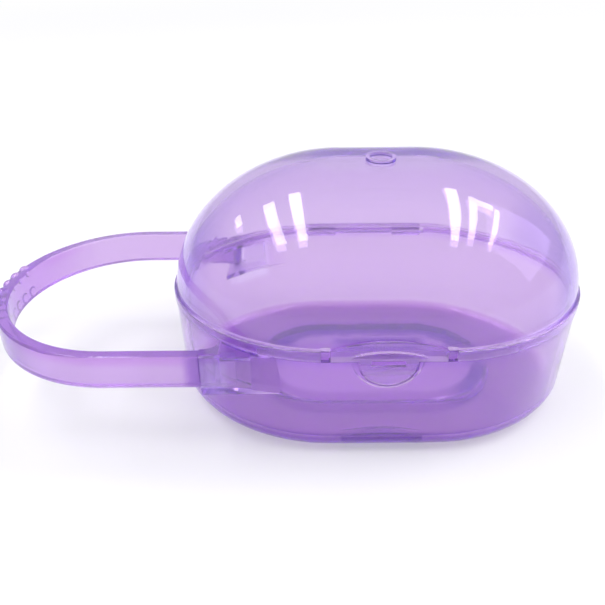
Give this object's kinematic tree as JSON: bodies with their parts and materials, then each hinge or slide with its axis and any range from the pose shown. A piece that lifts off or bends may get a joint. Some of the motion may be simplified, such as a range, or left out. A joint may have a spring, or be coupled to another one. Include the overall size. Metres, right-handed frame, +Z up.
{
  "type": "pacifier sterilizer case",
  "caption": "Oval carry case for pacifiers: shallow tub, hinged domed lid with front latch, and a U-shaped handle that swings open from a side pivot.",
  "frame": {"origin": "on the flat of the foot, under the middle of the tub", "axes": "+X along the case away from the handle, -Y towards the latch, +Y towards the hinge, +Z up"},
  "size_m": [0.152, 0.0746, 0.0628],
  "materials": {
    "tub": "clear violet polypropylene, gloss outside",
    "lid": "clear pale violet polypropylene, gloss",
    "handle": "clear violet polypropylene, gloss",
    "pin": "violet polypropylene"
  },
  "bodies": {
    "tub": {"tub": "tub", "hinge_pin": "pin", "handle_pin": "pin"},
    "lid": {"lid": "lid"},
    "handle": {"handle": "handle"}
  },
  "joints": [
    {"name": "lid_hinge", "type": "hinge", "parent": "tub", "child": "lid", "pos_m": [0, 0.0372, 0.02795], "axis": [-1, 0, 0], "range_deg": [0, 110]},
    {"name": "handle_swing", "type": "hinge", "parent": "tub", "child": "handle", "pos_m": [-0.04, 0.0319, 0.0227], "axis": [0, 0, -1], "range_deg": [0, 85]}
  ]
}
